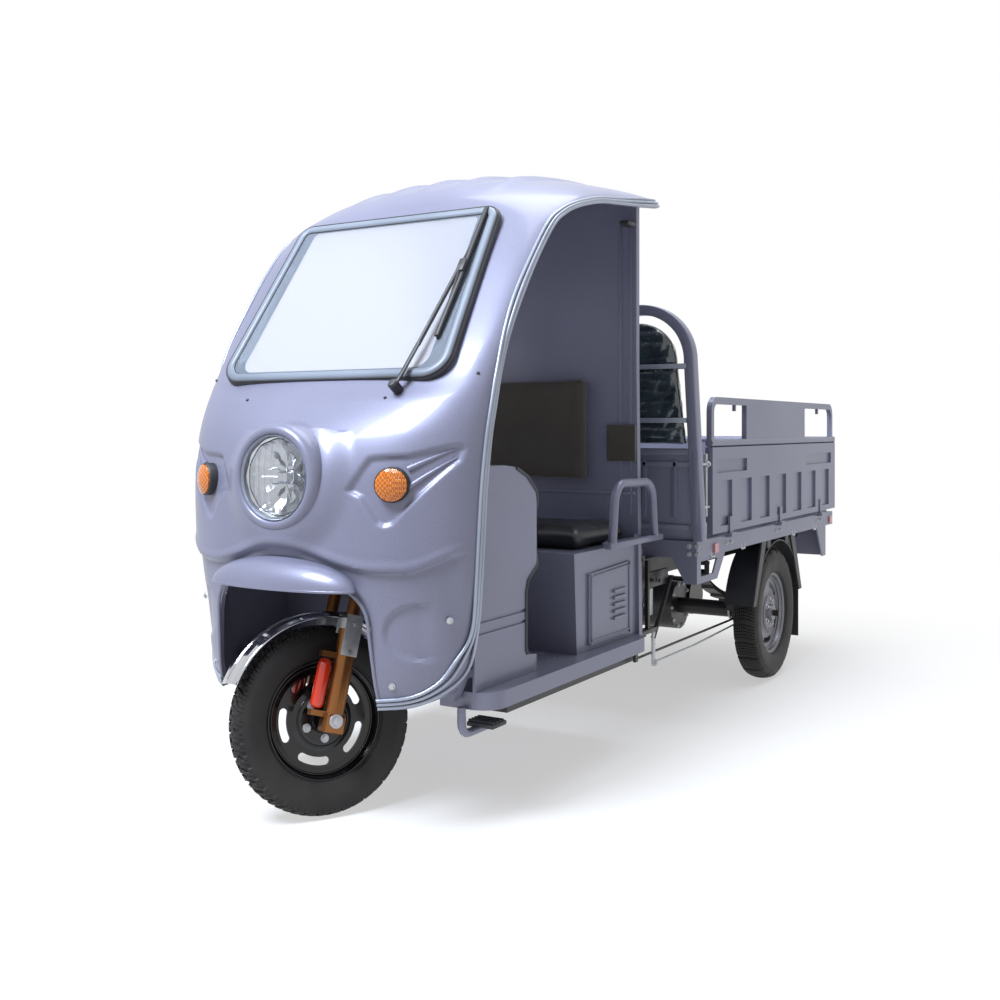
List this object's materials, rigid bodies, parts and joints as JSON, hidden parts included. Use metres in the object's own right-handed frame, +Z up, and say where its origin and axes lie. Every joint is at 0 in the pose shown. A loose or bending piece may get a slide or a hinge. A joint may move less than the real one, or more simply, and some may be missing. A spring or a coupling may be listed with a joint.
{
  "type": "electric cargo tricycle",
  "caption": "Cargo tricycle with a half-open cab over one steered front wheel, a sprung rear axle and a bed with drop sides and tailgate.",
  "frame": {"origin": "on the floor, under the middle of the vehicle's box", "axes": "+Y along the vehicle to its tail, -Y is the front, +X its left side, +Z up"},
  "size_m": [1.042, 3.144, 1.749],
  "materials": {
    "painted_steel": "metallic grey-blue paint",
    "shell_paint": "metallic grey-lavender paint on moulded panels",
    "silver_trim": "bright silver beading",
    "clear_glass": "clear laminated pane",
    "black_rubber": "matt moulded seal",
    "black_steel": "satin black chassis paint",
    "tyre_rubber": "black tread rubber",
    "chrome_plate": "bright plated steel",
    "gold_anodise": "gold anodised fork legs",
    "red_spring": "red enamelled damper",
    "amber_lens": "moulded amber lens",
    "lamp_lens": "fluted clear lamp lens",
    "black_vinyl": "black grained vinyl",
    "grey_wheel": "silver-grey enamelled wheel",
    "black_plastic": "black moulded plastic",
    "pink_reflector": "moulded reflector",
    "battery_case": "plain battery case"
  },
  "bodies": {
    "chassis": {"main_frame": "black_steel", "cab_shell": "shell_paint", "edge_trim": "silver_trim", "front_visor": "shell_paint", "windscreen_glass": "clear_glass", "windscreen_seal": "black_rubber", "wiper": "black_plastic", "headlight_ring": "chrome_plate", "headlight_lens": "lamp_lens", "indicator_lamps": "amber_lens", "console": "shell_paint", "floor_pan": "painted_steel", "seat_base": "painted_steel", "access_panel": "painted_steel", "battery_block": "battery_case", "seat_cushion": "black_vinyl", "backrest_pad": "black_vinyl", "rear_wall": "painted_steel", "grab_rails": "painted_steel", "bed_frame": "painted_steel", "bed_floor": "painted_steel", "headboard": "painted_steel", "folded_cover": "black_vinyl", "leaf_springs": "black_steel", "rear_axle": "black_steel", "rear_fenders": "black_plastic", "tail_lamps": "painted_steel", "reflectors": "pink_reflector", "brake_linkage": "black_steel", "pedal_step": "black_steel"},
    "steering": {"handlebar": "black_steel", "fork_yoke": "black_steel", "fork_legs": "gold_anodise", "red_dampers": "red_spring", "front_fender": "chrome_plate"},
    "front_wheel": {"front_tyre": "tyre_rubber", "front_rim": "black_steel"},
    "rear_left_wheel": {"rear_tyre_left": "tyre_rubber", "rear_rim_left": "grey_wheel"},
    "rear_right_wheel": {"rear_tyre_right": "tyre_rubber", "rear_rim_right": "grey_wheel"},
    "side_left": {"side_board_left": "painted_steel"},
    "side_right": {"side_board_right": "painted_steel"},
    "tail_gate": {"tailgate": "painted_steel"}
  },
  "joints": [
    {"name": "steering", "type": "hinge", "parent": "chassis", "child": "steering", "pos_m": [0, -1.31366, 0.22361], "axis": [0, 0.309, 0.9511], "range_deg": [-10, 70]},
    {"name": "front_wheel_spin", "type": "hinge", "parent": "steering", "child": "front_wheel", "pos_m": [-0.017, -1.34167, 0.23271], "axis": [0.866, -0.4755, 0.1545], "continuous": true},
    {"name": "rear_left_spin", "type": "hinge", "parent": "chassis", "child": "rear_left_wheel", "pos_m": [0.44, 0.769, 0.2525], "axis": [1, 0, 0], "continuous": true},
    {"name": "rear_right_spin", "type": "hinge", "parent": "chassis", "child": "rear_right_wheel", "pos_m": [-0.44, 0.769, 0.2525], "axis": [1, 0, 0], "continuous": true},
    {"name": "side_left_drop", "type": "hinge", "parent": "chassis", "child": "side_left", "pos_m": [0.513, 0.769, 0.603], "axis": [0, 1, 0], "range_deg": [0, 170]},
    {"name": "side_right_drop", "type": "hinge", "parent": "chassis", "child": "side_right", "pos_m": [-0.513, 0.769, 0.603], "axis": [0, -1, 0], "range_deg": [0, 170]},
    {"name": "tailgate_drop", "type": "hinge", "parent": "chassis", "child": "tail_gate", "pos_m": [0, 1.564, 0.603], "axis": [-1, 0, 0], "range_deg": [0, 170]}
  ]
}
